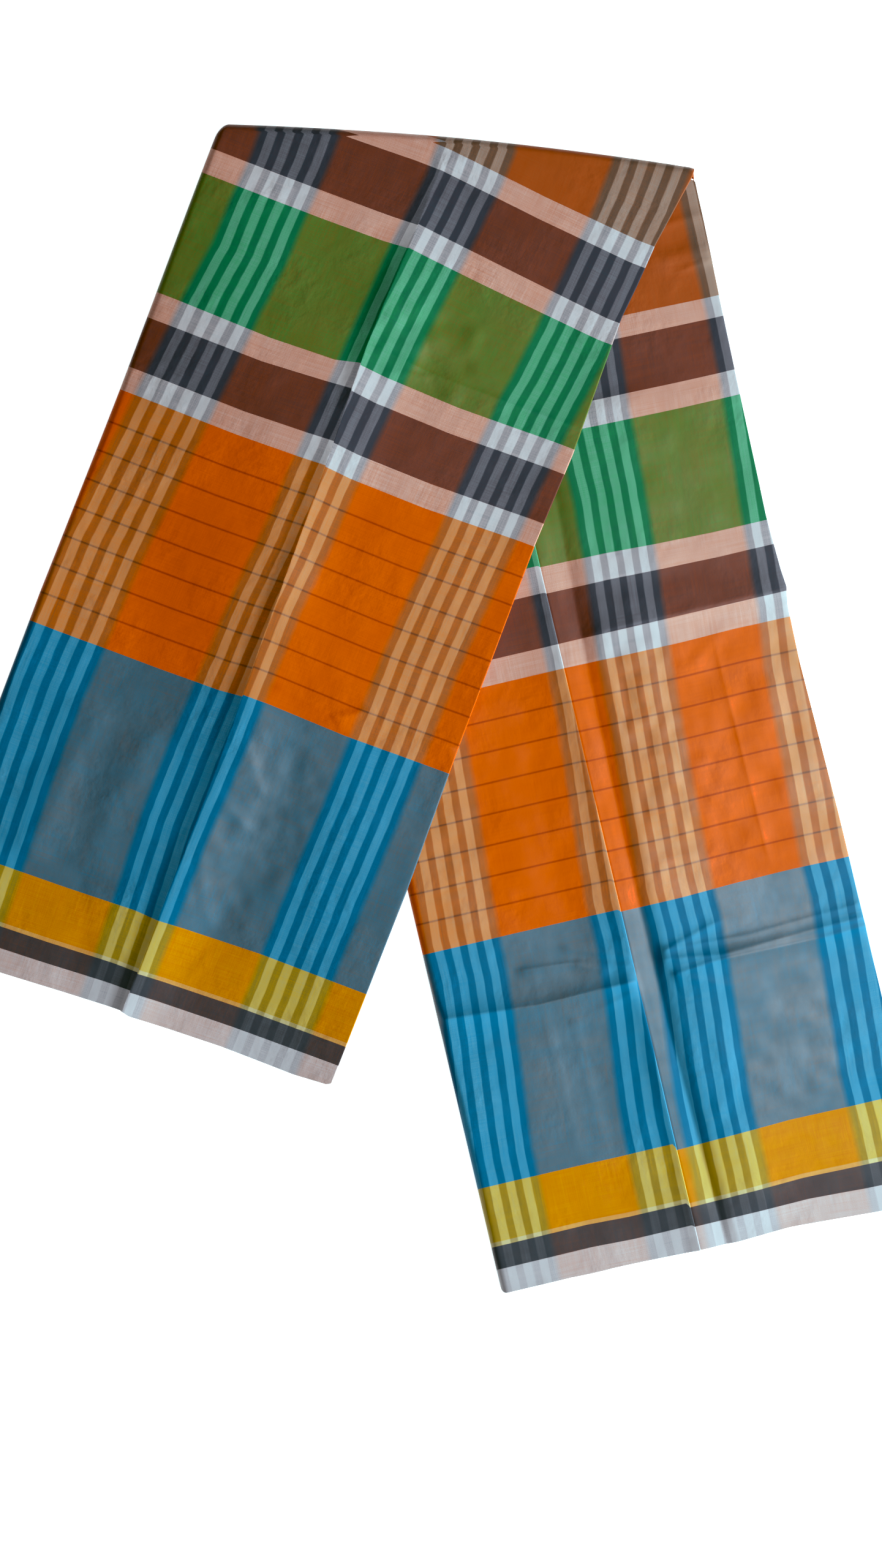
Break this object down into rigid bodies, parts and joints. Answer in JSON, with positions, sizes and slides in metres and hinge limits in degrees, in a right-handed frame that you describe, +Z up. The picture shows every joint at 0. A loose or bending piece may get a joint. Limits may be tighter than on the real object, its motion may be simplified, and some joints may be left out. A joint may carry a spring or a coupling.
{
  "type": "folded longyi sarong",
  "caption": "Checked cotton longyi sarong, pressed into a long strip and folded over once at the top, lying flat with one leg across the other.",
  "frame": {"origin": "centre of the bounding box's base, on the surface that the cloth lies on", "axes": "+Z up off the surface, +Y from the hems towards the top fold, +X to the right, with the front leg going down to the left and the back leg down to the right"},
  "size_m": [0.5954, 0.6817, 0.0146],
  "materials": {
    "face_cloth": "crisp polished cotton in a woven check of orange, blue grey, green, brown and pink, with a soft sheen",
    "inner_plies": "the same checked cotton, seen only at the folded edges and the hems"
  },
  "bodies": {
    "root": {"front_leg_face": "face_cloth", "back_leg_face": "face_cloth", "front_leg_plies": "inner_plies", "back_leg_plies": "inner_plies"}
  },
  "joints": []
}
